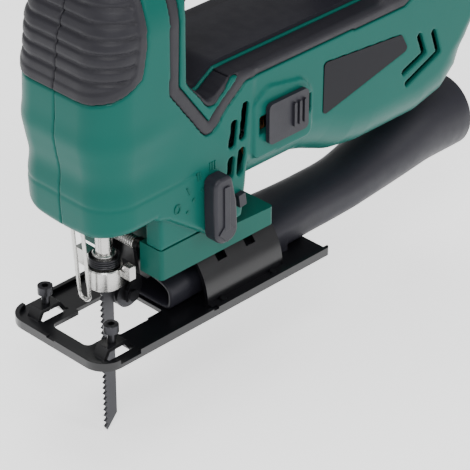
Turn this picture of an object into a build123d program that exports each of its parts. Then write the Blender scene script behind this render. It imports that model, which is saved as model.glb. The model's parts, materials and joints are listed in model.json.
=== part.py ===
from build123d import *
from math import cos, radians, sin
import os

# Handheld jigsaw. Millimetres. Front of the saw faces -Y, width runs along X, +Z is up.
# The origin is the centre of the sole's underside.

# ---------------------------------------------------------------- driving dimensions
sole_length = 143.0
sole_width = 65.0
sole_thickness = 2.0
rim_height = 4.2
blade_slot_front = -62.0
blade_slot_rear = -19.0
fence_x = 21.7
fence_y = -56.5

arch_radius = 27.2
arch_centre_z = 4.5
arch_thickness = 2.0
arch_front = -3.0
arch_rear = 45.0

body_half_width = 31.0
nose_front = -65.5
nose_bottom = 57.0
column_rear = -14.5
case_rear = 17.0
case_bottom = 43.5
barrel_top = 121.0
barrel_bottom = 53.0
bulge_bottom = 41.0
bulge_front = 64.0
housing_rear = 178.0
handle_bottom = 158.0
handle_top = 191.0
handle_half_width = 19.0
wall = 2.5

motor_z = 83.0
gear_centre = 27.0
gear_z = motor_z + gear_centre
pinion_teeth = 10
gear_teeth = 44
tooth_module = 1.0
crank_radius = 9.0
plunger_y = -40.0
plunger_radius = 3.85
running_gap = 0.05

blade_back_y = -35.8
blade_width = 7.3
blade_thickness = 1.4
blade_tip_z = -59.0
tooth_pitch = 3.0

roller_y = -28.5
roller_z = 10.6
roller_radius = 7.0
fork_pivot_z = 38.0
fork_pivot_y = -27.0
foot_bottom = 28.5
foot_front = -31.0
foot_rear = 39.0
foot_half_width = 27.0
guard_half_gap = 3.3
trigger_y = 8.0
lock_y = 30.0
lock_z = 172.0
wheel_y = -20.0
wheel_z = 186.0
gland_z = 140.0
# clamshell screws: y, z, half length of the boss
screw_places = [(-54, 164, 22), (70, 174, 13), (138, 158, 13), (166, 100, 29), (150, 60, 27), (100, 57, 27)]

lever_y = -1.5
lever_z = 47.5

port_radius = 19.0
port_bore = 17.5
port_z = 20.5
port_rear = 187.0
port_length = 24.0

os.makedirs("parts", exist_ok=True)


def save(name, builder):
    builder.part.label = name
    export_step(builder.part, f"parts/{name}.step")


# ---------------------------------------------------------------- housing shapes
def nose_column(grow):
    """Nose, gear case and front column, grown outwards by grow on its front and sides."""
    front = nose_front - grow
    width = body_half_width + grow
    with BuildPart() as column:
        with BuildSketch(Plane.YZ):
            with BuildLine():
                Polyline(
                    (front + 6, nose_bottom),
                    (-36, 61),
                    (foot_front, 52),
                    (foot_front, case_bottom),
                    (case_rear - 1, case_bottom),
                    (case_rear + 3, 68),
                    (case_rear + 8, barrel_top),
                    (column_rear, barrel_top),
                    (column_rear, handle_top - 3),
                    (-44, handle_top - 3),
                    (front + 8, 178),
                    (front + 2, 155),
                )
                ThreePointArc((front + 2, 155), (front, 108), (front + 6, nose_bottom))
            make_face()
        extrude(amount=width, both=True)
        with BuildSketch(Plane.XY.offset(40)):
            with BuildLine():
                FilletPolyline(
                    (-width, 40), (-width, front), (width, front), (width, 40),
                    radius=[1, 18, 18, 1], close=True,
                )
            make_face()
        extrude(amount=160, mode=Mode.INTERSECT)
        with BuildSketch(Plane.XZ.offset(100)):
            with BuildLine():
                Polyline(
                    (-width, 40), (width, 40), (width, 150), (width - 8, 176), (width - 14, 200),
                    (14 - width, 200), (8 - width, 176), (-width, 150), close=True,
                )
            make_face()
        extrude(amount=-200, mode=Mode.INTERSECT)
    return column.part


def barrel(front, rear, top, bottom, half_width, corner, top_corner=5):
    """Rounded box along Y, used for the motor barrel and for its hollow."""
    with BuildPart() as body:
        with BuildSketch(Plane.XZ.offset(-front)):
            with BuildLine():
                FilletPolyline(
                    (-half_width, bottom), (half_width, bottom), (half_width, top), (-half_width, top),
                    radius=[corner, corner, top_corner, top_corner], close=True,
                )
            make_face()
        extrude(amount=front - rear)
    return body.part


opening_points = [
    (column_rear, handle_bottom), (column_rear, 124), (-4, 111), (8, 119), (104, 119), (110, 126),
    (110, 148), (101, handle_bottom),
]


def opening_block(grow, half_width):
    """Hand opening as a solid, grown outwards by grow."""
    with BuildPart() as block:
        with BuildSketch(Plane.YZ):
            with BuildLine():
                FilletPolyline(*opening_points, radius=[5, 5, 3, 8, 6, 6, 9, 9], close=True)
            make_face()
            if grow > 0:
                offset(amount=grow)
        extrude(amount=half_width, both=True)
    return block.part


with BuildPart() as handle_loop:
    with BuildSketch(Plane.YZ):
        with BuildLine():
            FilletPolyline(
                (-46, handle_bottom - 10), (-46, handle_top - 4), (-20, handle_top), (70, handle_top),
                (132, handle_top - 6), (166, 168), (176, 130), (housing_rear - 1, 90), (108, 90),
                (108, handle_bottom - 10), radius=12, close=True,
            )
        make_face()
    extrude(amount=handle_half_width, both=True)
    long_edges = handle_loop.edges().filter_by(GeomType.LINE).filter_by(Axis.X, reverse=True)
    fillet(long_edges.group_by(Axis.Z)[-1], radius=9)

with BuildPart() as outer_shape:
    add(nose_column(0))
    add(barrel(-10, bulge_front + 6, barrel_top, barrel_bottom, body_half_width, 24))
    add(barrel(bulge_front, housing_rear, barrel_top, bulge_bottom, body_half_width, 26))
    add(handle_loop.part)
    with BuildSketch(Plane.YZ):
        with BuildLine():
            FilletPolyline(
                (-80, 36), (55, 36), (86, bulge_bottom), (140, bulge_bottom), (170, 50), (housing_rear, 72),
                (housing_rear, 105), (170, 175), (120, 200), (-80, 200), radius=8, close=True,
            )
        make_face()
    extrude(amount=60, both=True, mode=Mode.INTERSECT)

with BuildPart() as hollow_shape:
    with BuildSketch(Plane.YZ):
        with BuildLine():
            Polyline(
                (-59, nose_bottom - 8), (-34, nose_bottom - 8), (-29, case_bottom + 3),
                (case_rear - 4, case_bottom + 3),
                (case_rear, 70), (case_rear, 108), (column_rear - 5, 108), (column_rear - 5, 172), (-50, 172),
                (-60, 150), (-61, 108), close=True,
            )
        make_face()
    extrude(amount=25.5, both=True)
    add(nose_column(-3), mode=Mode.INTERSECT)
    # pocket of the gear case's back plate
    with Locations((0, -16.8, 103)):
        Box(51, 6, 28)
    add(barrel(-19.5, case_rear + 2, 106, 62, body_half_width - wall, 14))
    with BuildSketch(Plane.XZ.offset(-case_rear)):
        with Locations((0, motor_z)):
            Circle(27.4)
    extrude(amount=case_rear - bulge_front - 20)
    add(barrel(bulge_front + wall, housing_rear - 5, 112, 50, body_half_width - wall, 22))
    with BuildSketch(Plane.YZ):
        with BuildLine():
            Polyline(
                (-34, 163), (-34, 184), (60, 184), (126, 178), (160, 164), (168, 130), (168, 104),
                (116, 104), (116, 152), (108, 163), close=True,
            )
        make_face()
    extrude(amount=12.5, both=True)

# side outlines shared by housing recess and fitted trim, as (y, z)
chevron_points = [
    (-26, 148), (-28, 121), (-8, 93), (-3, 93), (6, 103), (16, 111), (116, 111), (120, 115.5),
    (9, 115.5), (-3.5, 106), (-17.5, 123), (-17.5, 148),
]
label_points = [(66.5, 101.5), (66, 75), (123, 88), (118, 97)]
pad_points = [(21, 70), (58, 69), (58, 92), (52, 100), (30, 104), (21, 98)]
vent_rects = [(8.5, 86.5, 5, 17), (15.2, 91, 5, 20), (8.5, 72.5, 4.5, 14), (14.4, 73.5, 4.5, 15)]


def side_plates(points, inner, outer, corner):
    """Mirrored pair of flat plates between x = inner and x = outer on both sides."""
    with BuildPart() as plates:
        for side in (1, -1):
            with BuildSketch(Plane.YZ.offset(side * inner)):
                with BuildLine():
                    FilletPolyline(*points, radius=corner, close=True)
                make_face()
            extrude(amount=side * (outer - inner))
    return plates.part


with BuildPart() as grip_zone:
    with BuildSketch(Plane.YZ):
        with BuildLine():
            low = ThreePointArc((-80, 124), (-60, 127), (-42, 136))
            Polyline(low @ 1, (-38.5, 152), (-38.5, 178), (-80, 178), low @ 0)
        make_face()
    extrude(amount=50, both=True)

with BuildPart() as grip_recess:
    add(grip_zone.part)
    add(nose_column(-1.2), mode=Mode.SUBTRACT)

sides = {"right": 1, "left": -1}


def half_of(shape, side):
    """The half of a shape on one side of the centre plane."""
    with BuildPart() as half:
        add(shape)
        split(bisect_by=Plane.YZ, keep=Keep.TOP if side > 0 else Keep.BOTTOM)
    return half.part


def housing_half(side):
    """One clamshell, side 1 for right and -1 for left."""
    with BuildPart() as clamshell:
        add(half_of(outer_shape.part, side))
        add(half_of(hollow_shape.part, side), mode=Mode.SUBTRACT)
        add(opening_block(2.0, 50), mode=Mode.SUBTRACT)
        add(side_plates(chevron_points, 30.2, 40, 1.2), mode=Mode.SUBTRACT)
        add(side_plates(label_points, 30.4, 40, 2), mode=Mode.SUBTRACT)
        # raised pad that carries the blower slide, cut by the slide's track
        if side > 0:
            add(half_of(side_plates(pad_points, 28, 32.2, 4), side))
        with BuildSketch(Plane.YZ):
            with Locations((41.5, 86)):
                Rectangle(33, 9)
        extrude(amount=50, mode=Mode.SUBTRACT)
        # air outlets beside the fan, two L-shaped inlets at the back
        with BuildSketch(Plane.YZ):
            for vent_y, vent_z, vent_w, vent_h in vent_rects:
                with Locations((vent_y, vent_z)):
                    SlotOverall(vent_h, vent_w, rotation=80)
        extrude(amount=50, both=True, mode=Mode.SUBTRACT)
        for shift in (0, 10):
            with BuildSketch(Plane.YZ):
                with BuildLine():
                    FilletPolyline((121 + shift * 0.3, 76 - shift * 0.7), (135 + shift, 81.5 - shift * 0.3),
                                   (130 + shift, 92), radius=2)
                trace(line_width=3.2)
            extrude(amount=50, both=True, mode=Mode.SUBTRACT)
        # nose is open below for the plunger, the roller fork and the guard
        with BuildSketch(Plane.XY.offset(40)):
            with Locations((0, -39.5)):
                RectangleRounded(36, 36, 8)
        extrude(amount=24, mode=Mode.SUBTRACT)
        # bosses for the clamshell screws
        for boss_y, boss_z, boss_reach in screw_places:
            with BuildSketch(Plane.YZ):
                with Locations((boss_y, boss_z)):
                    Circle(4.2)
            extrude(amount=side * boss_reach)
            with BuildSketch(Plane.YZ.offset(-40)):
                with Locations((boss_y, boss_z)):
                    Circle(1.5)
            extrude(amount=49, mode=Mode.SUBTRACT)
            with BuildSketch(Plane.YZ.offset(-40)):
                with Locations((boss_y, boss_z)):
                    Circle(3.3)
            extrude(amount=46 - boss_reach, mode=Mode.SUBTRACT)
        # seat of the cord gland
        with BuildSketch(Plane.XZ.offset(-160)):
            with Locations((0, gland_z)):
                Circle(8.1)
        extrude(amount=-30, mode=Mode.SUBTRACT)
        # windows of the trigger, the lock button and the speed wheel
        with Locations((0, trigger_y, handle_bottom + 3)):
            Box(11, 34, 12, mode=Mode.SUBTRACT)
        with BuildSketch(Plane.YZ.offset(-40)):
            with Locations((lock_y, lock_z)):
                Circle(5.2)
        extrude(amount=35, mode=Mode.SUBTRACT)
        with Locations((0, wheel_y, handle_top - 3)):
            Box(7.4, 21, 16, mode=Mode.SUBTRACT)
        # bores for the speed wheel's axle and the orbit lever's shaft
        with BuildSketch(Plane.YZ.offset(-6.5)):
            with Locations((wheel_y, wheel_z)):
                Circle(1.5 + running_gap)
        extrude(amount=13, mode=Mode.SUBTRACT)
        with BuildSketch(Plane.YZ.offset(6)):
            with Locations((lever_y, lever_z)):
                Circle(3.05)
        extrude(amount=40, mode=Mode.SUBTRACT)
        add(grip_recess.part, mode=Mode.SUBTRACT)
    return clamshell


# ---------------------------------------------------------------- housing pieces
for side_name, side in sides.items():
    save(f"housing_{side_name}", housing_half(side))

with BuildPart() as front_grip:
    add(nose_column(0.8))
    add(grip_zone.part, mode=Mode.INTERSECT)
    add(nose_column(-1.2), mode=Mode.SUBTRACT)
trim_shapes = {
    "front_grip": front_grip.part,
    "side_grip": side_plates(chevron_points, 30.2, 31.5, 1.2),
    "label": side_plates(label_points, 30.4, 31.3, 2),
}
for trim_name, trim_shape in trim_shapes.items():
    for side_name, side in sides.items():
        with BuildPart() as half:
            add(half_of(trim_shape, side))
        save(f"{trim_name}_{side_name}", half)

with BuildPart() as handle_liner:
    add(opening_block(2.0, handle_half_width - 0.5))
    add(opening_block(0, 40), mode=Mode.SUBTRACT)
    with Locations((0, trigger_y, handle_bottom + 3)):
        Box(11, 34, 16, mode=Mode.SUBTRACT)
save("handle_liner", handle_liner)

with BuildPart() as housing_screws:
    for boss_y, boss_z, boss_reach in screw_places:
        with BuildSketch(Plane.YZ.offset(6 - boss_reach)):
            with Locations((boss_y, boss_z)):
                Circle(1.45)
        extrude(amount=boss_reach + 2)
        with BuildSketch(Plane.YZ.offset(3.5 - boss_reach)):
            with Locations((boss_y, boss_z)):
                Circle(3.0)
        extrude(amount=2.5)
        with BuildSketch(Plane.YZ.offset(3.5 - boss_reach)):
            with Locations((boss_y, boss_z)):
                RegularPolygon(1.3, 6)
        extrude(amount=1.4, mode=Mode.SUBTRACT)
save("housing_screws", housing_screws)

# ---------------------------------------------------------------- foot and its clamp
bevel_rows = [11.0, 29.0]
with BuildPart() as foot_block:
    with BuildSketch(Plane.YZ):
        with BuildLine():
            Polyline(
                (foot_front, foot_bottom), (foot_rear, foot_bottom), (foot_rear, 37.5), (case_rear - 1, 38.5),
                (case_rear - 1, case_bottom), (foot_front, case_bottom), close=True,
            )
        make_face()
    extrude(amount=foot_half_width, both=True)
    fillet(foot_block.edges().filter_by(Axis.Z), radius=2)
    # saddle for the bracket
    with BuildSketch(Plane.XZ.offset(-60)):
        with Locations((0, arch_centre_z)):
            Circle(arch_radius + 0.4)
    extrude(amount=120, mode=Mode.SUBTRACT)
    # recess of the roller fork
    with BuildSketch(Plane.XY.offset(20)):
        with Locations((0, foot_front + 5)):
            Rectangle(27, 20)
    extrude(amount=30, mode=Mode.SUBTRACT)
    # cross bore of the fork's pin
    with BuildSketch(Plane.YZ.offset(-21)):
        with Locations((fork_pivot_y, fork_pivot_z)):
            Circle(1.5)
    extrude(amount=42, mode=Mode.SUBTRACT)
    # bore of the orbit lever's shaft, open at the top
    with BuildSketch(Plane.YZ.offset(6)):
        with Locations((lever_y, lever_z)):
            Circle(5.5)
    extrude(amount=40, mode=Mode.SUBTRACT)
    for row in bevel_rows:
        with Locations((0, row, 30)):
            Cylinder(2.6, 14, mode=Mode.SUBTRACT)
save("foot_block", foot_block)

with BuildPart() as bevel_screws:
    for row in bevel_rows:
        with Locations((0, row, 26.6)):
            Cylinder(5.0, 4.0)
        with Locations((0, row, 32.5)):
            Cylinder(2.5, 7.8)
        with BuildSketch(Plane.XY.offset(24.6)):
            with Locations((0, row)):
                RegularPolygon(2.6, 6)
        extrude(amount=2.2, mode=Mode.SUBTRACT)
save("bevel_screws", bevel_screws)

# ---------------------------------------------------------------- sole
rivet_places = [(28.9, 5), (28.9, 37), (-28.9, 5), (-28.9, 37)]
with BuildPart() as sole_plate:
    with BuildSketch():
        Rectangle(sole_width, sole_length)
        fillet(vertices().sort_by(Axis.Y)[:2], radius=11)
        fillet(vertices().sort_by(Axis.Y)[-2:], radius=2)
    extrude(amount=rim_height)
    # pressed rim: everything inside the rim is only as high as the sheet
    with BuildSketch(Plane.XY.offset(sole_thickness)):
        with Locations((0, 2)):
            Rectangle(sole_width - 4, sole_length)
        fillet(vertices().sort_by(Axis.Y)[:2], radius=9)
    extrude(amount=rim_height, mode=Mode.SUBTRACT)
    # gaps in the side rims where a fence bar passes, and short notches behind them
    with Locations((0, fence_y + 1.5, sole_thickness + 2)):
        Box(sole_width + 2, 12, 4, mode=Mode.SUBTRACT)
    with Locations((0, -2.6, rim_height)):
        Box(sole_width + 2, 3, 1.8, mode=Mode.SUBTRACT)
    with Locations((-2, -sole_length / 2, rim_height)):
        Box(5, 6, 1.2, mode=Mode.SUBTRACT)
    # blade slot, wider around the guide roller
    with BuildSketch():
        with BuildLine():
            FilletPolyline(
                (-12, blade_slot_front), (12, blade_slot_front), (12, -45.5), (15, -45.5), (15, -28),
                (14, -28), (14, blade_slot_rear), (-14, blade_slot_rear), (-14, -45.5), (-12, -45.5),
                radius=[3, 3, 0.5, 1, 0.4, 0.4, 1, 1, 0.5, 0.5], close=True,
            )
        make_face()
    extrude(amount=10, mode=Mode.SUBTRACT)
    # windows under the fence bridges
    with BuildSketch():
        with Locations((fence_x, -55), (-fence_x, -55)):
            Rectangle(10, 15.5)
    extrude(amount=10, mode=Mode.SUBTRACT)
    # fence bridges
    for side in (1, -1):
        with BuildSketch(Plane.YZ.offset(side * fence_x)):
            with BuildLine():
                FilletPolyline(
                    (-66, 0.2), (-63.5, 0.2), (-60.8, 4.9), (-52.2, 4.9), (-49, 0.2), (-46, 0.2), (-46, 2),
                    (-48, 2), (-51.2, 6.9), (-61.8, 6.9), (-64.5, 2), (-66, 2), radius=0.4, close=True,
                )
            make_face()
        extrude(amount=3.6, both=True)
        with Locations((side * fence_x, fence_y, 5)):
            Cylinder(1.95, 10, mode=Mode.SUBTRACT)
    # rivet holes
    with BuildSketch():
        with Locations(*rivet_places):
            Circle(1.0)
    extrude(amount=10, mode=Mode.SUBTRACT)
save("sole_plate", sole_plate)

with BuildPart() as fence_screws:
    for side in (1, -1):
        with Locations((side * fence_x, fence_y, (3.2 + 12.2) / 2)):
            Cylinder(1.9, 12.2 - 3.2)
        with Locations((side * fence_x, fence_y, 14.2)):
            Cylinder(3.5, 4)
        with BuildSketch(Plane.XY.offset(14.0)):
            with Locations((side * fence_x, fence_y)):
                RegularPolygon(1.73, 6)
        extrude(amount=3, mode=Mode.SUBTRACT)
    fillet(fence_screws.faces().sort_by(Axis.Z)[-1].outer_wire().edges(), radius=0.5)
save("fence_screws", fence_screws)

flange_top = sole_thickness + 1.8
with BuildPart() as tunnel_bracket:
    with BuildSketch(Plane.XZ.offset(-arch_front)):
        with BuildLine():
            outer_arc = ThreePointArc(
                (-arch_radius, arch_centre_z), (0, arch_centre_z + arch_radius), (arch_radius, arch_centre_z)
            )
            inner = arch_radius - arch_thickness
            Polyline(outer_arc @ 1, (arch_radius, flange_top), (30.2, flange_top), (30.2, sole_thickness),
                     (inner, sole_thickness), (inner, arch_centre_z))
            inner_arc = ThreePointArc(
                (inner, arch_centre_z), (0, arch_centre_z + inner), (-inner, arch_centre_z)
            )
            Polyline(inner_arc @ 1, (-inner, sole_thickness), (-30.2, sole_thickness), (-30.2, flange_top),
                     (-arch_radius, flange_top), outer_arc @ 0)
        make_face()
    extrude(amount=arch_front - arch_rear)
    # slots that let the bevel screws swing 45 degrees each way
    for row in bevel_rows:
        with BuildSketch(Plane.XZ.offset(2.9 - row)):
            with BuildLine():
                Polyline((0, arch_centre_z), (33.2, arch_centre_z + 22.4), (40, 60), (-40, 60),
                         (-33.2, arch_centre_z + 22.4), close=True)
            make_face()
        extrude(amount=-5.8, mode=Mode.SUBTRACT)
    with BuildSketch():
        with Locations(*rivet_places):
            Circle(1.0)
    extrude(amount=10, mode=Mode.SUBTRACT)
save("tunnel_bracket", tunnel_bracket)

with BuildPart() as bracket_rivets:
    for rivet_x, rivet_y in rivet_places:
        with Locations((rivet_x, rivet_y, 2.0)):
            Cylinder(1.0, 3.6)
        with Locations((rivet_x, rivet_y, flange_top + 0.5)):
            Cylinder(1.5, 1.0)
save("bracket_rivets", bracket_rivets)

# ---------------------------------------------------------------- dust tube
# sections as (y, centre x, centre z, half width, half height)
tube_sections = [
    (-17.5, 0.0, 10.0, 18.6, 7.6),
    (0.0, 0.0, 10.6, 18.4, 8.2),
    (45.0, 0.5, 11.0, 18.0, 8.6),
    (75.0, 3.5, 12.5, 15.0, 10.1),
    (105.0, 4.5, 13.4, 14.6, 11.2),
    (130.0, 2.5, 15.5, 16.2, 14.4),
    (150.0, 0.6, 18.8, 18.4, 17.8),
    (port_rear - port_length, 0.0, port_z, port_radius, port_radius),
]


def tube_solid(shrink):
    """Swept body of the dust tube without its round hose port."""
    with BuildPart() as tube:
        for y, centre_x, centre_z, half_width, half_height in tube_sections:
            with BuildSketch(Plane(origin=(centre_x, y, centre_z), x_dir=(1, 0, 0), z_dir=(0, 1, 0))):
                Ellipse(half_width - shrink, half_height - shrink)
        loft()
    return tube.part


with BuildPart() as dust_tube:
    add(tube_solid(0))
    with BuildSketch(Plane.XZ.offset(port_length - port_rear)):
        with Locations((0, port_z)):
            Circle(port_radius)
    extrude(amount=-port_length)
    add(tube_solid(port_radius - port_bore), mode=Mode.SUBTRACT)
    with BuildSketch(Plane.XZ.offset(port_length - port_rear)):
        with Locations((0, port_z)):
            Circle(port_bore)
    extrude(amount=-port_length, mode=Mode.SUBTRACT)
save("dust_tube", dust_tube)

# ---------------------------------------------------------------- gear case and guides
with BuildPart() as gear_case:
    with Locations((0, -16.5, 90)):
        Box(48, 5, 52)
    with Locations((0, -34.5, 65.5)):
        Box(24, 41, 7)
    with Locations((0, -54.5, 65.5)):
        Box(12, 4.8, 7)
    with BuildSketch(Plane.XZ.offset(14)):
        with Locations((0, motor_z)):
            Circle(14)
    extrude(amount=-10)
    with BuildSketch(Plane.XZ.offset(11.5)):
        with Locations((0, motor_z)):
            Circle(11)
    extrude(amount=-8, mode=Mode.SUBTRACT)
    with BuildSketch(Plane.XZ.offset(30)):
        with Locations((0, motor_z)):
            Circle(6.4)
        with Locations((0, gear_z)):
            Circle(4.0)
    extrude(amount=-30, mode=Mode.SUBTRACT)
    with Locations((0, plunger_y, 65)):
        Cylinder(7, 20, mode=Mode.SUBTRACT)
save("gear_case", gear_case)

with BuildPart() as upper_guide:
    with Locations((0, plunger_y, 139.5)):
        Box(36, 18, 7)
        Cylinder(7, 20, mode=Mode.SUBTRACT)
save("upper_guide", upper_guide)

for bush_name, bush_low in {"lower_bush": 61.0, "upper_bush": 135.0}.items():
    with BuildPart() as bush:
        with BuildSketch(Plane.XY.offset(bush_low)):
            with Locations((0, plunger_y)):
                Circle(7)
                Circle(plunger_radius + running_gap, mode=Mode.SUBTRACT)
        extrude(amount=9)
    save(bush_name, bush)

with BuildPart() as gear_axle:
    with BuildSketch(Plane.XZ.offset(28.6)):
        with Locations((0, gear_z)):
            Circle(4.0)
    extrude(amount=-14.6)
save("gear_axle", gear_axle)


def ball_bearing(front):
    """Shielded 8 x 22 x 7 ball bearing on the motor axis."""
    with BuildPart() as bearing:
        with BuildSketch(Plane.XZ.offset(-front)):
            with Locations((0, motor_z)):
                Circle(11)
                Circle(4.0 + running_gap, mode=Mode.SUBTRACT)
        extrude(amount=-7)
        for face_y in (front, front + 6.6):
            with BuildSketch(Plane.XZ.offset(-face_y)):
                with Locations((0, motor_z)):
                    Circle(9.2)
                    Circle(5.8, mode=Mode.SUBTRACT)
            extrude(amount=-0.4, mode=Mode.SUBTRACT)
    return bearing


save("front_bearing", ball_bearing(-11.5))
save("rear_bearing", ball_bearing(118.0))

with BuildPart() as bearing_plate:
    with BuildSketch(Plane.XZ.offset(-113)):
        with Locations((0, 82)):
            RectangleRounded(54, 44, 8)
        with Locations((0, motor_z)):
            Circle(5.5, mode=Mode.SUBTRACT)
    extrude(amount=-13)
    with BuildSketch(Plane.XZ.offset(-118)):
        with Locations((0, motor_z)):
            Circle(11)
    extrude(amount=-12, mode=Mode.SUBTRACT)
save("bearing_plate", bearing_plate)

# ---------------------------------------------------------------- motor
with BuildPart() as stator_core:
    with BuildSketch(Plane.XZ.offset(-42)):
        with Locations((0, motor_z)):
            Circle(26.9)
            Circle(18.9, mode=Mode.SUBTRACT)
            Rectangle(6, 60, mode=Mode.SUBTRACT)
    extrude(amount=-40)
    with BuildSketch(Plane.XZ.offset(-42)):
        with Locations((0, motor_z)):
            Circle(26.9)
            Circle(24.2, mode=Mode.SUBTRACT)
    extrude(amount=-40)
save("stator_core", stator_core)

with BuildPart() as stator_coils:
    for coil_front in (34.0, 82.2):
        for tilt in (0, 180):
            with BuildSketch(Plane(origin=(0, coil_front, motor_z), x_dir=(1, 0, 0), z_dir=(0, 1, 0))):
                with BuildLine():
                    start = radians(tilt - 62)
                    along = (-sin(start), cos(start))
                    low = JernArc((19.6 * cos(start), 19.6 * sin(start)), along, 19.6, 124)
                    high = JernArc((25.6 * cos(start), 25.6 * sin(start)), along, 25.6, 124)
                    Line(low @ 0, high @ 0)
                    Line(low @ 1, high @ 1)
                make_face()
            extrude(amount=7.8)
save("stator_coils", stator_coils)

with BuildPart() as brush_holders:
    for side in (1, -1):
        with Locations((side * 19.5, 102, motor_z)):
            Box(15, 10, 10)
            Box(20, 6.6, 6.6, mode=Mode.SUBTRACT)
save("brush_holders", brush_holders)

with BuildPart() as carbon_brushes:
    for side in (1, -1):
        with Locations((side * 17.0, 102, motor_z)):
            Box(11, 6.2, 6.2)
save("carbon_brushes", carbon_brushes)


def gear_outline(teeth, phase):
    """Outline of a spur gear in its own plane, first tooth at angle phase."""
    pitch_radius = teeth * tooth_module / 2
    step = 360 / teeth
    root_radius = pitch_radius - 1.15 * tooth_module
    tip_radius = pitch_radius + 0.8 * tooth_module
    points = []
    for tooth in range(teeth):
        middle = phase + step * tooth
        for radius, offset_angle in (
            (root_radius, -0.32), (tip_radius, -0.12), (tip_radius, 0.12), (root_radius, 0.32)
        ):
            angle = radians(middle + offset_angle * step)
            points.append((radius * cos(angle), radius * sin(angle)))
    return points


def axis_plane(y, z):
    """Plane across the motor axis at y, its drawing seen from the back."""
    return Plane(origin=(0, y, z), x_dir=(1, 0, 0), z_dir=(0, -1, 0))


with BuildPart() as armature_shaft:
    with BuildSketch(axis_plane(126, motor_z)):
        Circle(4.0)
    extrude(amount=126 + 19.4)
    with BuildSketch(axis_plane(-19.4, motor_z)):
        with BuildLine():
            Polyline(*gear_outline(pinion_teeth, 18), close=True)
        make_face()
    extrude(amount=8.6)
save("armature_shaft", armature_shaft)

with BuildPart() as armature_core:
    with BuildSketch(axis_plane(81, motor_z)):
        Circle(18.3)
        Circle(4.0, mode=Mode.SUBTRACT)
        with PolarLocations(16.8, 12):
            Rectangle(4, 1.6, mode=Mode.SUBTRACT)
    extrude(amount=38)
save("armature_core", armature_core)

with BuildPart() as armature_coils:
    for coil_rear in (43, 88.5):
        with BuildSketch(axis_plane(coil_rear, motor_z)):
            Circle(15.5)
            Circle(4.0, mode=Mode.SUBTRACT)
        extrude(amount=7.5)
    rims = armature_coils.edges().filter_by(GeomType.CIRCLE).sort_by(SortBy.RADIUS)[-4:]
    fillet(rims, radius=2.5)
save("armature_coils", armature_coils)

with BuildPart() as commutator:
    with BuildSketch(axis_plane(109, motor_z)):
        Circle(11)
        Circle(4.0, mode=Mode.SUBTRACT)
        with PolarLocations(11, 24):
            Rectangle(2, 0.5, mode=Mode.SUBTRACT)
    extrude(amount=14)
save("commutator", commutator)

with BuildPart() as cooling_fan:
    with BuildSketch(axis_plane(20, motor_z)):
        Circle(20)
        Circle(4.0, mode=Mode.SUBTRACT)
    extrude(amount=1.6)
    with BuildSketch(axis_plane(18.6, motor_z)):
        with PolarLocations(13.2, 11):
            Rectangle(12.5, 1.4)
        Circle(7.5)
        Circle(4.0, mode=Mode.SUBTRACT)
    extrude(amount=11)
save("cooling_fan", cooling_fan)

# ---------------------------------------------------------------- gear and plunger
with BuildPart() as gear_wheel:
    with BuildSketch(axis_plane(-20, gear_z)):
        with BuildLine():
            Polyline(*gear_outline(gear_teeth, 180 / gear_teeth), close=True)
        make_face()
        Circle(4.0 + running_gap, mode=Mode.SUBTRACT)
    extrude(amount=7)
    with BuildSketch(axis_plane(-20, gear_z)):
        with Locations((0, -crank_radius), (0, 14.5)):
            Circle(3.0)
    extrude(amount=7, mode=Mode.SUBTRACT)
save("gear_wheel", gear_wheel)

with BuildPart() as crank_pin:
    with BuildSketch(axis_plane(-20, gear_z - crank_radius)):
        Circle(3.0)
    extrude(amount=13.4)
save("crank_pin", crank_pin)

with BuildPart() as counterweight:
    with BuildSketch(axis_plane(-27, gear_z)):
        Circle(20.5)
        Circle(6.5, mode=Mode.SUBTRACT)
        with Locations((0, -20)):
            Rectangle(60, 40, mode=Mode.SUBTRACT)
    extrude(amount=2.2)
    with BuildSketch(axis_plane(-20, gear_z + 14.5)):
        Circle(3.0)
    extrude(amount=7)
save("counterweight", counterweight)

yoke_z = gear_z - crank_radius
with BuildPart() as yoke:
    with Locations((0, -39.7, yoke_z)):
        Box(32, 10.6, 13)
    fillet(yoke.edges().filter_by(Axis.Y), radius=3)
    with Locations((0, -34.4, yoke_z)):
        Box(26, 3.6, 6.3, mode=Mode.SUBTRACT)
    with Locations((0, plunger_y, yoke_z)):
        Cylinder(plunger_radius, 30, mode=Mode.SUBTRACT)
save("yoke", yoke)

with BuildPart() as plunger_rod:
    with Locations((0, plunger_y, (36.5 + 150) / 2)):
        Cylinder(plunger_radius, 150 - 36.5)
    chamfer(plunger_rod.edges().sort_by(Axis.Z)[-1], 0.6)
save("plunger_rod", plunger_rod)

with BuildPart() as clamp_body:
    with Locations((0, plunger_y, (19.4 + 36.5) / 2)):
        Cylinder(5.35, 36.5 - 19.4)
    with Locations((0, blade_back_y - blade_width / 2, 25.5)):
        Box(blade_thickness + 0.1, blade_width + 0.1, 16, mode=Mode.SUBTRACT)
    chamfer(clamp_body.edges().sort_by(Axis.Z)[-1], 0.5)
save("clamp_body", clamp_body)

with BuildPart() as clamp_collar:
    with BuildSketch(Plane.XY.offset(20)):
        with Locations((0, plunger_y)):
            Circle(8.65)
    extrude(amount=10)
    chamfer(clamp_collar.edges().filter_by(GeomType.CIRCLE), 0.5)
    with Locations((-12, plunger_y, 29.2)):
        Box(9, 5.5, 7.6)
    with Locations((12.2, -36.5, 29.5)):
        Box(4.4, 3.6, 6.6)
    with Locations((9.6, -37.2, 28.2)):
        Box(4, 3, 3)
    with Locations((0, plunger_y, 25)):
        Cylinder(5.35 + running_gap, 30, mode=Mode.SUBTRACT)
    with Locations((0, plunger_y, 33)):
        Cylinder(8.2, 5.6, mode=Mode.SUBTRACT)
save("clamp_collar", clamp_collar)

with BuildPart() as clamp_spring:
    for turn in range(4):
        with Locations((0, plunger_y, 31.1 + 1.1 * turn)):
            Torus(6.7, 0.45)
save("clamp_spring", clamp_spring)

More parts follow.
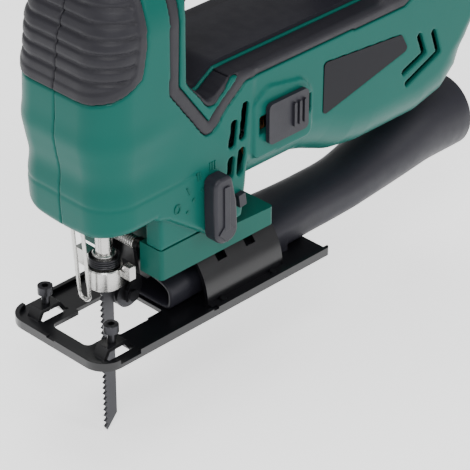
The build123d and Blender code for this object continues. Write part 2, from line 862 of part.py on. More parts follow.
blade_front_y = blade_back_y - blade_width
tooth_points = []
for tooth in range(24):
    low = -57.0 + tooth_pitch * tooth
    tooth_points.append((blade_front_y, low))
    tooth_points.append((blade_front_y + 1.5, low + 1.3))
with BuildPart() as saw_blade:
    with BuildSketch(Plane.YZ):
        with BuildLine():
            Polyline(
                (blade_back_y, -52), (blade_front_y + 1.2, blade_tip_z), *tooth_points,
                (blade_front_y + 0.4, 15), (blade_front_y + 0.4, 33), (blade_back_y, 33), close=True,
            )
        make_face()
    extrude(amount=blade_thickness / 2, both=True)
save("saw_blade", saw_blade)

# ---------------------------------------------------------------- roller and fork
with BuildPart() as guide_roller:
    with BuildSketch(Plane.YZ.offset(-2.8)):
        with Locations((roller_y, roller_z)):
            Circle(roller_radius)
            Circle(1.75 + running_gap, mode=Mode.SUBTRACT)
    extrude(amount=5.6)
    with BuildSketch(Plane.YZ.offset(-0.95)):
        with Locations((roller_y, roller_z)):
            Circle(roller_radius + 1)
            Circle(roller_radius - 0.6, mode=Mode.SUBTRACT)
    extrude(amount=1.9, mode=Mode.SUBTRACT)
save("guide_roller", guide_roller)

with BuildPart() as roller_pin:
    with BuildSketch(Plane.YZ.offset(-6.2)):
        with Locations((roller_y, roller_z)):
            Circle(1.75)
    extrude(amount=12.4)
    for head_x in (-6.6, 5.2):
        with BuildSketch(Plane.YZ.offset(head_x)):
            with Locations((roller_y, roller_z)):
                Circle(2.8)
        extrude(amount=1.4)
save("roller_pin", roller_pin)

with BuildPart() as roller_fork:
    with BuildSketch(Plane.YZ.offset(-10.6)):
        with Locations((fork_pivot_y, fork_pivot_z)):
            Circle(3.6)
        with BuildLine():
            Polyline((-30.2, 36.5), (-23.5, 38), (-21.6, 24), (-25.6, 21), (-28.6, 24), close=True)
        make_face()
    extrude(amount=21.2)
    with Locations((0, -28, 38)):
        Box(16.4, 16, 40, mode=Mode.SUBTRACT)
    with Locations((0, -23.6, 26)):
        Box(21.2, 2.4, 12)
    with BuildSketch(Plane.YZ.offset(-5.0)):
        with BuildLine():
            Polyline((-24.8, 24), (-22.4, 24), (-22.4, 13), (-25.2, roller_z - 3.2), (-31, roller_z - 3.2),
                     (-31, roller_z + 3.0), close=True)
        make_face()
    extrude(amount=10)
    with Locations((0, -29, 6)):
        Box(6.4, 18, 24, mode=Mode.SUBTRACT)
    with BuildSketch(Plane.YZ.offset(-20)):
        with Locations((roller_y, roller_z)):
            Circle(1.75)
        with Locations((fork_pivot_y, fork_pivot_z)):
            Circle(1.5 + running_gap)
    extrude(amount=40, mode=Mode.SUBTRACT)
save("roller_fork", roller_fork)

with BuildPart() as fork_pin:
    with BuildSketch(Plane.YZ.offset(-20.5)):
        with Locations((fork_pivot_y, fork_pivot_z)):
            Circle(1.5)
    extrude(amount=41)
save("fork_pin", fork_pin)

with BuildPart() as fork_spring:
    for turn in range(11):
        with Locations(Location((-6.5 + 1.3 * turn, fork_pivot_y, fork_pivot_z), (0, 90, 0))):
            Torus(2.5, 0.45)
save("fork_spring", fork_spring)

guard_plane = Plane(origin=(0, -52.2, 20), x_dir=(1, 0, 0), z_dir=(0, -1, -0.08))
with BuildPart() as wire_guard:
    with BuildLine(guard_plane):
        left_wire = Line((-guard_half_gap, 42.2), (-guard_half_gap, 0))
        loop = ThreePointArc((-guard_half_gap, 0), (0, -guard_half_gap), (guard_half_gap, 0))
        Line((guard_half_gap, 0), (guard_half_gap, 42.2))
    with BuildSketch(Plane(origin=left_wire @ 0, z_dir=left_wire % 0)):
        Circle(0.9)
    sweep()
    with Locations((0, -56, 68)):
        Box(20, 20, 12, mode=Mode.SUBTRACT)
save("wire_guard", wire_guard)

# ---------------------------------------------------------------- controls
with BuildPart() as orbit_lever:
    with BuildSketch(Plane.YZ.offset(body_half_width + 0.5)):
        with BuildLine():
            FilletPolyline(
                (lever_y - 6.8, lever_z - 6.8), (lever_y + 6.8, lever_z - 6.8),
                (lever_y + 6.0, lever_z + 12), (lever_y + 2.8, lever_z + 26.5),
                (lever_y - 7.4, lever_z + 26.5), (lever_y - 7.4, lever_z + 10),
                radius=[6, 6, 8, 3.5, 3.5, 8], close=True,
            )
        make_face()
    extrude(amount=7)
    fillet(orbit_lever.faces().sort_by(Axis.X)[-1].edges(), radius=1.6)
    with BuildSketch(Plane.YZ.offset(6.5)):
        with Locations((lever_y, lever_z)):
            Circle(3.0)
    extrude(amount=body_half_width - 6)
save("orbit_lever", orbit_lever)

with BuildPart() as blower_slide:
    with BuildSketch(Plane.YZ.offset(32.5)):
        with Locations((40.5, 86)):
            RectangleRounded(25, 20, 2.5)
    extrude(amount=2.2)
    for rib in range(3):
        with BuildSketch(Plane.YZ.offset(34.5)):
            with Locations((43.5 + 3.2 * rib, 86)):
                RectangleRounded(1.6, 12, 0.7)
        extrude(amount=1.4)
    with Locations((30.6, 41, 86)):
        Box(5.2, 10, 8)
save("blower_slide", blower_slide)

with BuildPart() as trigger:
    with BuildSketch(Plane.YZ):
        with BuildLine():
            Polyline((24, 154), (24, 163), (-8, 163), (-8, 152))
            ThreePointArc((-8, 152), (8, 149.5), (24, 154))
        make_face()
    extrude(amount=4.8, both=True)
    fillet(trigger.edges().group_by(Axis.Z)[0], radius=1.0)
save("trigger", trigger)

with BuildPart() as switch_module:
    with Locations((0, 17, 176)):
        Box(18, 46, 12)
    with Locations((0, 17, 169.2)):
        Box(6, 5, 1.8)
    fillet(switch_module.edges().filter_by(Axis.Z), radius=0.8)
save("switch_module", switch_module)

with BuildPart() as lock_button:
    with BuildSketch(Plane.YZ.offset(-22)):
        with Locations((lock_y, lock_z)):
            Circle(4.9)
    extrude(amount=9.4)
    fillet(lock_button.edges().sort_by(Axis.X)[0], radius=1.0)
save("lock_button", lock_button)

with BuildPart() as speed_dial:
    with BuildSketch(Plane.YZ.offset(-3)):
        with Locations((wheel_y, wheel_z)):
            Circle(9)
            with PolarLocations(9.2, 24):
                Circle(0.6, mode=Mode.SUBTRACT)
    extrude(amount=6)
    with BuildSketch(Plane.YZ.offset(-6)):
        with Locations((wheel_y, wheel_z)):
            Circle(1.5)
    extrude(amount=12)
save("speed_dial", speed_dial)

with BuildPart() as cord_gland:
    with BuildSketch(Plane.XZ.offset(-161)):
        with Locations((0, gland_z)):
            Circle(8.0)
    extrude(amount=-18)
    with BuildSketch(Plane.XZ.offset(-179)):
        with Locations((0, gland_z)):
            Circle(8.0)
    extrude(amount=-8, taper=12)
    with BuildSketch(Plane.XZ.offset(-150)):
        with Locations((0, gland_z)):
            Circle(3.9)
    extrude(amount=-60, mode=Mode.SUBTRACT)
save("cord_gland", cord_gland)
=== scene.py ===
import bpy
import json
import math
import numpy as np
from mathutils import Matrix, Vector


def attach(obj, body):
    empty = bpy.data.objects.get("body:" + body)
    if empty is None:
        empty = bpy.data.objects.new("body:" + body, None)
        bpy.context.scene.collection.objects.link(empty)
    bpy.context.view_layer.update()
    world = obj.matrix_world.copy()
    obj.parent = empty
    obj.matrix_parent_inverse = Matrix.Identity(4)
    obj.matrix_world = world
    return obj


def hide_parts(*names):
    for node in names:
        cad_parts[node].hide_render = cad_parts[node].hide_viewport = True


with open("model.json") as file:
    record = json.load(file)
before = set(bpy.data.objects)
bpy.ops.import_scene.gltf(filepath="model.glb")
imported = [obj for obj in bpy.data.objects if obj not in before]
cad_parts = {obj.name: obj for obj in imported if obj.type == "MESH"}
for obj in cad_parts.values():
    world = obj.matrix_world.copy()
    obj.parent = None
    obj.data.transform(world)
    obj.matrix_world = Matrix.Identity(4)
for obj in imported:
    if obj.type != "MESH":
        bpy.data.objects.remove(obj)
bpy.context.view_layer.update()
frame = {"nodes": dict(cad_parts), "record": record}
MM = 0.001

# ---------------------------------------------------------------- distance field tools (millimetres)
# The grid covers X from just below 0; both halves are netted from it and the left one is mirrored.
CELL = 0.72
GX = np.arange(-1.6, 34.5, CELL)
GY = np.arange(-68.5, 181.0, CELL)
GZ = np.arange(39.0, 194.5, CELL)
X = GX[:, None, None].astype(np.float32)
Y2, Z2 = np.meshgrid(GY.astype(np.float32), GZ.astype(np.float32), indexing="ij")
Y = Y2[None, :, :]
Z = Z2[None, :, :]


def polygon_distance(points):
    """Signed distance to a closed polygon in the side view, negative inside."""
    pts = np.array(points, dtype=np.float32)
    best = np.full(Y2.shape, 1e9, dtype=np.float32)
    inside = np.zeros(Y2.shape, dtype=bool)
    for i in range(len(pts)):
        ay, az = pts[i]
        by, bz = pts[(i + 1) % len(pts)]
        ey, ez = by - ay, bz - az
        wy, wz = Y2 - ay, Z2 - az
        t = np.clip((wy * ey + wz * ez) / (ey * ey + ez * ez), 0, 1)
        best = np.minimum(best, (wy - ey * t) ** 2 + (wz - ez * t) ** 2)
        crosses = ((az > Z2) != (bz > Z2)) & (Y2 < (by - ay) * (Z2 - az) / (bz - az + 1e-9) + ay)
        inside ^= crosses
    return np.where(inside, -np.sqrt(best), np.sqrt(best))


def line_distance(points):
    """Distance to an open chain of lines in the side view."""
    pts = np.array(points, dtype=np.float32)
    best = np.full(Y2.shape, 1e9, dtype=np.float32)
    for (ay, az), (by, bz) in zip(pts[:-1], pts[1:]):
        ey, ez = by - ay, bz - az
        wy, wz = Y2 - ay, Z2 - az
        t = np.clip((wy * ey + wz * ez) / (ey * ey + ez * ez), 0, 1)
        best = np.minimum(best, (wy - ey * t) ** 2 + (wz - ez * t) ** 2)
    return np.sqrt(best)


def soft_polygon(points, r):
    """Signed distance to a polygon whose outside corners are rounded by about r."""
    inner = polygon_distance(points) + r
    mask = inner <= 0
    core = mask.copy()
    for axis in (0, 1):
        core &= np.roll(mask, 1, axis) & np.roll(mask, -1, axis)
    ys, zs = np.nonzero(mask & ~core)
    out = inner.copy()
    for y0 in range(0, Y2.shape[0], 64):
        yy = Y2[y0:y0 + 64][..., None]
        zz = Z2[y0:y0 + 64][..., None]
        near = (GY[ys] > GY[y0] - 2 * r) & (GY[ys] < GY[min(y0 + 64, len(GY) - 1)] + 2 * r)
        if not near.any():
            continue
        d = np.full(yy.shape[:2], 1e9, dtype=np.float32)
        py, pz = GY[ys[near]], GZ[zs[near]]
        for s in range(0, len(py), 200):
            d = np.minimum(d, ((yy - py[s:s + 200]) ** 2 + (zz - pz[s:s + 200]) ** 2).min(-1))
        block = inner[y0:y0 + 64]
        out[y0:y0 + 64] = np.where(block > 0, np.minimum(np.sqrt(d) - 0.3 * CELL, block + 1.5 * r), block)
    return out - r


def join(a, b, r):
    """Union of two fields with an inside corner of radius r."""
    u = np.maximum(r - a, 0)
    v = np.maximum(r - b, 0)
    return np.maximum(r, np.minimum(a, b)) - np.sqrt(u * u + v * v)


def meet(a, b, r):
    """Intersection of two fields with an outside edge of radius r."""
    u = np.maximum(r + a, 0)
    v = np.maximum(r + b, 0)
    return np.minimum(-r, np.maximum(a, b)) + np.sqrt(u * u + v * v)


def step_between(low, high, value):
    """Smooth step from 0 at low to 1 at high."""
    t = np.clip((value - low) / (high - low), 0, 1)
    return t * t * (3 - 2 * t)


def net(field, side):
    """Vertices and quads of the zero surface; side -1 mirrors it to -X."""
    nx, ny, nz = field.shape
    cells = (nx - 1, ny - 1, nz - 1)
    total = cells[0] * cells[1] * cells[2]
    count = np.zeros(total)
    sums = np.zeros((3, total))
    edges = []
    for axis in range(3):
        lo = [slice(None)] * 3
        hi = [slice(None)] * 3
        lo[axis] = slice(0, -1)
        hi[axis] = slice(1, None)
        a = field[tuple(lo)]
        b = field[tuple(hi)]
        idx = np.array(np.nonzero((a < 0) != (b < 0)))
        av = a[tuple(idx)]
        bv = b[tuple(idx)]
        t = av / (av - bv)
        pos = idx.astype(float)
        pos[axis] += t
        others = [k for k in range(3) if k != axis]
        ok = np.ones(idx.shape[1], dtype=bool)
        for k in others:
            ok &= (idx[k] > 0) & (idx[k] < cells[k])
        ids = []
        for d0, d1 in ((0, 0), (-1, 0), (-1, -1), (0, -1)):
            cell = idx.copy()
            cell[others[0]] += d0
            cell[others[1]] += d1
            good = np.all([(cell[k] >= 0) & (cell[k] < cells[k]) for k in range(3)], axis=0)
            flat = (cell[0] * cells[1] + cell[1]) * cells[2] + cell[2]
            ids.append(np.where(good, flat, 0))
            count += np.bincount(flat[good], minlength=total)
            for k in range(3):
                sums[k] += np.bincount(flat[good], weights=pos[k][good], minlength=total)
        flip = av < 0
        if axis == 1:
            flip = ~flip
        edges.append((np.array(ids)[:, ok], flip[ok]))
    used = count > 0
    index = np.full(total, -1)
    index[used] = np.arange(used.sum())
    pts = (sums[:, used] / count[used]).T
    pts = pts * CELL + np.array([GX[0], GY[0], GZ[0]])
    faces = []
    for ids, flip in edges:
        quad = index[ids].T
        quad[~flip] = quad[~flip][:, ::-1]
        faces.append(quad)
    faces = np.concatenate(faces)
    if side < 0:
        pts[:, 0] *= -1
        faces = faces[:, ::-1]
    return pts, faces


def mesh_object(name, pts, faces, smooth=True):
    """Object from points in millimetres and faces."""
    mesh = bpy.data.meshes.new(name)
    mesh.from_pydata((np.asarray(pts) * MM).tolist(), [], np.asarray(faces).tolist())
    mesh.update()
    if smooth:
        mesh.polygons.foreach_set("use_smooth", [True] * len(mesh.polygons))
    obj = bpy.data.objects.new(name, mesh)
    bpy.context.scene.collection.objects.link(obj)
    return obj


# ---------------------------------------------------------------- housing as a distance field
CASE_HALF_WIDTH = 27.0
BARREL_HALF_WIDTH = 31.0
HANDLE_HALF_WIDTH = 19.0
WALL = 2.8
CENTRE_GAP = 0.03
BAND_EDGE_X = 19.5
LABEL_SEAT_X = 30.35

# nose: a column with a bowed front, a narrow top and a shallow dip round its waist
front_line = -65.5 + np.where(Z2 < 110, 1.8, 5.5) * ((Z2 - 110.0) / 52.0) ** 2
front_line = np.where(Z2 > 150, -65.5 + 5.5 * (40 / 52) ** 2 + 0.35 * (Z2 - 150), front_line)
side_width = 31.0 - 12.5 * step_between(150, 196, Z2)
nose_dip = 1.5 * np.exp(-((Z2 - 87.0) / 7.5) ** 2) - 0.9 * np.exp(-((Z2 - 105.0) / 5.5) ** 2)
front_weight = 1.0 - step_between(-45, -15, Y2)
column_profile = polygon_distance([
    (-90, 53.0), (-60, 57.4), (-37, 62.5), (-29, 60), (-9, 45.5), (-7, 43.6), (15.5, 43.6), (18, 60),
    (24, 121), (-10.5, 121), (-10.5, 189), (-43, 189), (-60, 176), (-90, 170),
])
plan = meet(np.abs(X) - side_width[None], (front_line - Y2)[None], 17.0)
plan = plan + (nose_dip * front_weight)[None]
body = meet(plan, column_profile[None], 2.6)
rim_height = 58.3 + 0.0045 * X ** 2
rim_cut = np.minimum(rim_height - Z, -(Y + 38.0))
body = meet(body, rim_cut, 4.0)

# lower gear case, motor barrel and handle
case_profile = polygon_distance([(-31, 43.6), (16, 43.6), (16, 70), (-31, 70)])
case_block = meet(np.abs(X) - CASE_HALF_WIDTH, case_profile[None], 1.5)
body = join(body, case_block, 0.8)

barrel_profile = polygon_distance([
    (-6, 53), (56, 53), (66, 50), (82, 43.5), (98, 41), (138, 41), (158, 46), (171, 58), (178, 76),
    (178, 98), (175, 114), (168, 121), (-6, 121),
])
barrel_round = (7.0 + 18.0 * (1.0 - step_between(70, 100, Z2)))[None]
barrel = meet(np.abs(X) - BARREL_HALF_WIDTH, barrel_profile[None], barrel_round)
body = join(body, barrel, 2.0)

handle_profile = polygon_distance([
    (-46, 120), (-46, 186), (-20, 190.6), (70, 190.6), (128, 185), (156, 175), (168, 158), (176.5, 128),
    (177, 95), (-40, 95),
])
handle = meet(np.abs(X) - HANDLE_HALF_WIDTH, handle_profile[None], 10.0)
body = join(body, handle, 7.0)

opening = soft_polygon([
    (-16.5, 160), (-16.5, 122), (-4, 109.2), (8.5, 117), (105, 117), (112, 124), (112, 149), (102, 160),
], 4.0)

# outlines of the dark band, panel, front grip, label seat and slide pad
chevron = soft_polygon([
    (-26.5, 170), (-28, 121), (-7.5, 93), (-3.5, 93), (6, 103), (16.5, 111), (120, 110.5), (142, 122),
    (142, 170),
], 2.5)
panel = soft_polygon([
    (-17.3, 170), (-17.8, 123), (-4, 104.4), (8.5, 115.4), (112, 114.8), (128, 128), (128, 170),
], 3.0)
grip_area = soft_polygon([
    (-90, 122), (-66, 125.6), (-58, 127.6), (-50, 131), (-43.2, 135.2), (-40.2, 150), (-39.2, 165),
    (-41, 179), (-90, 179),
], 2.0)
label_area = soft_polygon([(66.3, 101.7), (65.8, 74.8), (123.2, 87.8), (118.2, 97.2)], 1.8)
pad_area = soft_polygon([(21, 70), (58, 69), (58, 92), (52, 100), (30, 104), (21, 98)], 4.0)

# the hollow shell and its screw posts: y, z and reach from the centre plane
solid = meet(body, -opening[None], 3.0)
inner_wall = solid + WALL
shell = np.maximum(solid, -inner_wall)

BOSSES = [(-54, 164, 22), (70, 174, 13), (138, 158, 13), (166, 100, 29), (150, 60, 27), (100, 57, 27)]
posts = np.full(Y2.shape, 1e3, dtype=np.float32)
for by, bz, _ in BOSSES:
    posts = np.minimum(posts, np.hypot(Y2 - by, Z2 - bz) - 4.4)
shell = np.minimum(shell, np.maximum(posts[None], solid))
# floor of the gear case over the foot, open round the plunger
floor_plate = np.maximum(solid, Z - 47.0)
shell = np.minimum(shell, floor_plate)
plunger_gap = np.maximum(np.maximum(np.abs(X) - 17.5, np.abs(Y + 39.5) - 17.6), Z - 66.0)
shell = np.maximum(shell, -plunger_gap)

# shallow grooves, vent slots and the two chevron slots at the back
grooves = np.zeros(Y2.shape, dtype=np.float32)
grooves += 0.9 * np.exp(-(grip_area / 0.8) ** 2)
grooves += 0.35 * np.exp(-((Z2 - 77.0 - 0.02 * Y2) / 0.8) ** 2) * (Y2 < -12)
vents = np.full(Y2.shape, 1e3, dtype=np.float32)
for slot_line in (
    [(8.4, 83.0), (9.6, 93.0)], [(14.6, 85.0), (16.4, 99.5)],
    [(7.4, 67.5), (8.3, 75.0)], [(13.4, 67.5), (14.4, 77.5)],
):
    vents = np.minimum(vents, line_distance(slot_line) - 2.0)
for chain in (
    [(121.0, 76.4), (134.9, 81.5), (131.0, 91.5)], [(123.5, 69.7), (145.0, 78.4), (141.0, 90.0)],
):
    vents = np.minimum(vents, line_distance(chain) - 1.6)

ribbon = np.maximum(chevron, -(chevron + 6.0))
dark = np.minimum(panel, ribbon)


def finish_half(field, side, boss=True):
    """Field of one half with its openings cut and its centre plane closed."""
    out = np.maximum(field, -vents[None])
    out = np.maximum(out, CENTRE_GAP - X)
    if side < 0 and boss:
        for by, bz, reach in BOSSES:
            hole = np.maximum(np.hypot(Y2 - by, Z2 - bz)[None] - 3.3, reach - 4.5 - X)
            out = np.maximum(out, -hole)
        lock = np.maximum(np.hypot(Y2 - 30, Z2 - 172)[None] - 5.2, 5 - X)
        out = np.maximum(out, -lock)
    if side > 0:
        track = np.maximum(np.abs(Y2 - 41.5) - 16.5, np.abs(Z2 - 86.0) - 4.5)
        out = np.maximum(out, -np.maximum(track[None], 15 - X))
        lever = np.maximum(np.hypot(Y2 + 1.5, Z2 - 47.5)[None] - 3.2, 5 - X)
        out = np.maximum(out, -lever)
    wheel = np.maximum(np.maximum(np.abs(X) - 3.6, np.hypot(Y2 + 20, Z2 - 186)[None] - 10.2), 170 - Z)
    out = np.maximum(out, -wheel)
    key = np.maximum(np.maximum(np.abs(X) - 5.5, np.abs(Y - 8.0) - 17.0), np.abs(Z - 161.0) - 8.0)
    return np.maximum(out, -key)


def build_side(side, word):
    """Shell, front grip and side band of one half; side is 1 for +X and -1 for -X."""
    surface = np.maximum(shell, solid + grooves[None])
    if side > 0:
        raised = np.maximum(np.maximum(pad_area[None], X - 32.2), 28.0 - X)
        surface = join(surface, raised, 0.8)
    surface = np.maximum(surface, -np.maximum(label_area[None], LABEL_SEAT_X - X))
    gland = np.maximum(np.hypot(X, Z - 140.0) - 8.3, 158.0 - Y)
    surface = np.maximum(surface, -gland)
    # the green shell steps back under the dark band and panel
    green = np.maximum(surface, -np.maximum(dark[None] - 0.12, BAND_EDGE_X - X))
    green = np.maximum(green, -(grip_area[None] - 0.15))
    back_fill = np.maximum(np.maximum(solid + 1.7, -(solid + 3.2)), np.minimum(dark, 50)[None])
    green = np.minimum(green, np.maximum(back_fill, BAND_EDGE_X - X))
    pts, faces = net(finish_half(green, side), side)
    shell_obj = mesh_object(f"shell_{word}", pts, faces)
    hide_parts(f"housing_{word}")

    ribs = np.zeros(Y2.shape, dtype=np.float32)
    for k in range(8):
        ribs += 1.15 * np.exp(-((Z2 - 136.0 - 6.1 * k) / 0.85) ** 2)
    inner = 1.0 - step_between(-5.2, -4.2, grip_area)
    grip = np.maximum(solid - 0.75 + ((ribs + 0.55) * inner)[None], -inner_wall)
    grip = meet(grip, grip_area[None] + 0.1, 0.5)
    pts, faces = net(finish_half(grip, side, boss=False), side)
    grip_obj = mesh_object(f"grip_{word}", pts, faces)
    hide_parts(f"front_grip_{word}")

    hollowed = 0.2 + 1.0 * np.clip(-panel / 6.0, 0, 1) + 0.5 * np.exp(-(np.abs(dark) / 0.8) ** 2)
    band = np.maximum(np.maximum(shell, solid + hollowed[None]), dark[None] + 0.05)
    band = np.maximum(band, BAND_EDGE_X + 0.2 - X)
    band = np.maximum(band, -(grip_area[None] - 0.4))
    pts, faces = net(finish_half(band, side, boss=False), side)
    band_obj = mesh_object(f"band_{word}", pts, faces)
    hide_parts(f"side_grip_{word}")
    for obj in (shell_obj, grip_obj, band_obj):
        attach(obj, "housing")
    return shell_obj, grip_obj, band_obj


shell_r, grip_r, band_r = build_side(1, "right")
shell_l, grip_l, band_l = build_side(-1, "left")


# ---------------------------------------------------------------- dust tube
TUBE_WALL = 1.6
RING_POINTS = 72
# y, centre x, centre z, half width, half height, flatness
TUBE = [
    (-17.5, 0.0, 10.0, 18.6, 7.6, 1.0), (-10.0, 0.0, 10.2, 18.5, 7.8, 1.0),
    (0.0, 0.0, 10.6, 18.4, 8.2, 1.0), (20.0, 0.2, 10.8, 18.2, 8.4, 1.0),
    (45.0, 0.5, 11.0, 18.0, 8.6, 1.0), (60.0, 1.9, 11.6, 16.6, 9.2, 0.9),
    (75.0, 3.5, 12.5, 15.0, 10.1, 0.8), (90.0, 4.2, 12.9, 14.6, 10.6, 0.7),
    (105.0, 4.5, 13.4, 14.6, 11.2, 0.55), (118.0, 3.8, 14.4, 15.2, 12.6, 0.35),
    (130.0, 2.5, 15.5, 16.2, 14.4, 0.2), (145.0, 1.2, 17.9, 17.8, 16.8, 0.08),
    (156.0, 0.4, 19.7, 18.7, 18.5, 0.0), (163.0, 0.0, 20.5, 19.0, 19.0, 0.0),
    (186.2, 0.0, 20.5, 19.0, 19.0, 0.0), (187.0, 0.0, 20.5, 18.6, 18.6, 0.0),
]


def tube_ring(y, cx, cz, hw, hh, flat):
    """One section: an ellipse whose underside is pressed flat by flat (0 to 1)."""
    ring = []
    for k in range(RING_POINTS):
        a = 2 * math.pi * k / RING_POINTS
        power = 1 - 0.68 * flat if math.sin(a) < 0 else 1 - 0.12 * flat
        px = hw * math.copysign(abs(math.cos(a)) ** power, math.cos(a))
        pz = hh * math.copysign(abs(math.sin(a)) ** power, math.sin(a))
        ring.append((cx + px, y, cz + pz))
    return ring


def interpolate(rows, parts):
    """Catmull-Rom through the rows."""
    rows = np.array(rows)
    out = []
    for i in range(len(rows) - 1):
        p0 = rows[max(i - 1, 0)]
        p1 = rows[i]
        p2 = rows[i + 1]
        p3 = rows[min(i + 2, len(rows) - 1)]
        for s in range(parts):
            t = s / parts
            value = 0.5 * (
                2 * p1 + (p2 - p0) * t
                + (2 * p0 - 5 * p1 + 4 * p2 - p3) * t ** 2
                + (3 * p1 - p0 - 3 * p2 + p3) * t ** 3
            )
            value[0] = p1[0] + (p2[0] - p1[0]) * t
            out.append(value)
    out.append(rows[-1])
    return out


def tube_mesh():
    """Outer skin forwards, inner skin backwards, closed into one loop of rings."""
    rows = interpolate(TUBE, 4)
    n = RING_POINTS
    pts = []
    for row in rows:
        pts += tube_ring(*row)
    for y, cx, cz, hw, hh, flat in rows[::-1]:
        pts += tube_ring(y, cx, cz, hw - TUBE_WALL, hh - TUBE_WALL, flat)
    rings = len(pts) // n
    faces = []
    for r in range(rings):
        q = (r + 1) % rings
        for k in range(n):
            m = (k + 1) % n
            faces.append((r * n + k, q * n + k, q * n + m, r * n + m))
    return pts, faces


pts, faces = tube_mesh()
tube = mesh_object("tube_shell", pts, faces)
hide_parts("dust_tube")
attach(tube, "extraction")


# ---------------------------------------------------------------- small raised marks and clips
def plate(center, size, turn=0.0):
    """Corner points of a small box in the side view, turned about X."""
    cx, cy, cz = center
    sx, sy, sz = (v / 2 for v in size)
    c, s = math.cos(math.radians(turn)), math.sin(math.radians(turn))
    pts = []
    for dx in (-1, 1):
        for dy, dz in ((-1, -1), (1, -1), (1, 1), (-1, 1)):
            y, z = dy * sy, dz * sz
            pts.append((cx + dx * sx, cy + y * c - z * s, cz + y * s + z * c))
    return pts


BOX_FACES = [(0, 3, 2, 1), (4, 5, 6, 7), (0, 1, 5, 4), (1, 2, 6, 5), (2, 3, 7, 6), (3, 0, 4, 7)]


def box_group(name, boxes, body):
    """One object made of (centre, size, turn) boxes that moves with a body."""
    pts, faces = [], []
    for center, size, turn in boxes:
        start = len(pts)
        pts += plate(center, size, turn)
        faces += [tuple(start + k for k in face) for face in BOX_FACES]
    obj = mesh_object(name, pts, faces, smooth=False)
    soft = obj.modifiers.new("edge", "BEVEL")
    soft.width = 0.00018
    soft.segments = 2
    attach(obj, body)
    return obj


strokes = []
for y, z, bars, turn in ((-18.0, 70.5, 1, 25), (-11.5, 75.2, 2, 12), (-3.4, 77.4, 3, 0)):
    for k in range(bars):
        step = (k - (bars - 1) / 2) * 1.5
        c, s = math.cos(math.radians(turn)), math.sin(math.radians(turn))
        strokes.append(((31.0, y + step * c, z + step * s), (0.9, 0.75, 4.2), turn))
for k in range(10):
    a = 2 * math.pi * k / 10
    ring_point = (31.0, -24.6 + 1.5 * math.cos(a), 64.2 + 2.0 * math.sin(a))
    strokes.append((ring_point, (0.9, 0.8, 1.5), math.degrees(a)))
for y, z in ((-18.6, 60.2), (-14.9, 65.0), (-9.8, 68.0), (-3.6, 69.4)):
    strokes.append(((31.0, y, z), (0.9, 1.5, 1.5), 45))
marks = box_group("position_marks", strokes, "housing")
stop_block = box_group("lever_stop", [((32.0, 12.6, 54.5), (3.4, 4.2, 6.4), 8)], "housing")
lever_ridge = box_group("lever_ridge", [
    ((38.6, -2.2, 58.5), (1.3, 3.4, 22.0), 0), ((38.6, -2.2, 46.6), (1.1, 7.0, 7.0), 45),
], "orbit_selector")
clips = box_group("tube_clips", [
    ((17.9, 54.5, 5.6), (1.2, 6.0, 7.0), 0), ((-17.1, 54.5, 5.6), (1.2, 6.0, 7.0), 0),
], "extraction")


# ---------------------------------------------------------------- materials
def material(name, color, rough, metal=0.0, grain=900.0, bump=0.15, spread=0.12, stretch=(1, 1, 1),
             coat=0.0, rough_spread=0.12, shine=0.3):
    """Principled surface with large-scale tint, roughness variation and a fine grain."""
    mat = bpy.data.materials.new(name)
    mat.use_nodes = True
    nodes = mat.node_tree.nodes
    links = mat.node_tree.links
    shader = nodes["Principled BSDF"]
    coords = nodes.new("ShaderNodeTexCoord")
    place = nodes.new("ShaderNodeMapping")
    place.inputs["Scale"].default_value = stretch
    links.new(coords.outputs["Object"], place.inputs["Vector"])
    tint = nodes.new("ShaderNodeTexNoise")
    tint.inputs["Scale"].default_value = 38.0
    tint.inputs["Detail"].default_value = 6.0
    links.new(place.outputs["Vector"], tint.inputs["Vector"])
    mix = nodes.new("ShaderNodeMix")
    mix.data_type = "RGBA"
    low = [c * (1 - spread) for c in color]
    high = [min(c * (1 + spread), 1.0) for c in color]
    mix.inputs["A"].default_value = (*low, 1)
    mix.inputs["B"].default_value = (*high, 1)
    links.new(tint.outputs["Fac"], mix.inputs["Factor"])
    links.new(mix.outputs["Result"], shader.inputs["Base Color"])
    span = nodes.new("ShaderNodeMapRange")
    span.inputs["To Min"].default_value = max(rough - rough_spread, 0.05)
    span.inputs["To Max"].default_value = min(rough + rough_spread, 1.0)
    wear = nodes.new("ShaderNodeTexNoise")
    wear.inputs["Scale"].default_value = 160.0
    wear.inputs["Detail"].default_value = 8.0
    links.new(place.outputs["Vector"], wear.inputs["Vector"])
    links.new(wear.outputs["Fac"], span.inputs["Value"])
    links.new(span.outputs["Result"], shader.inputs["Roughness"])
    fine = nodes.new("ShaderNodeTexNoise")
    fine.inputs["Scale"].default_value = grain
    fine.inputs["Detail"].default_value = 3.0
    links.new(place.outputs["Vector"], fine.inputs["Vector"])
    lift = nodes.new("ShaderNodeBump")
    lift.inputs["Strength"].default_value = bump
    lift.inputs["Distance"].default_value = 0.0004
    links.new(fine.outputs["Fac"], lift.inputs["Height"])
    links.new(lift.outputs["Normal"], shader.inputs["Normal"])
    shader.inputs["Metallic"].default_value = metal
    shader.inputs["Coat Weight"].default_value = coat
    shader.inputs["Coat Roughness"].default_value = 0.25
    shader.inputs["Specular IOR Level"].default_value = shine
    return mat


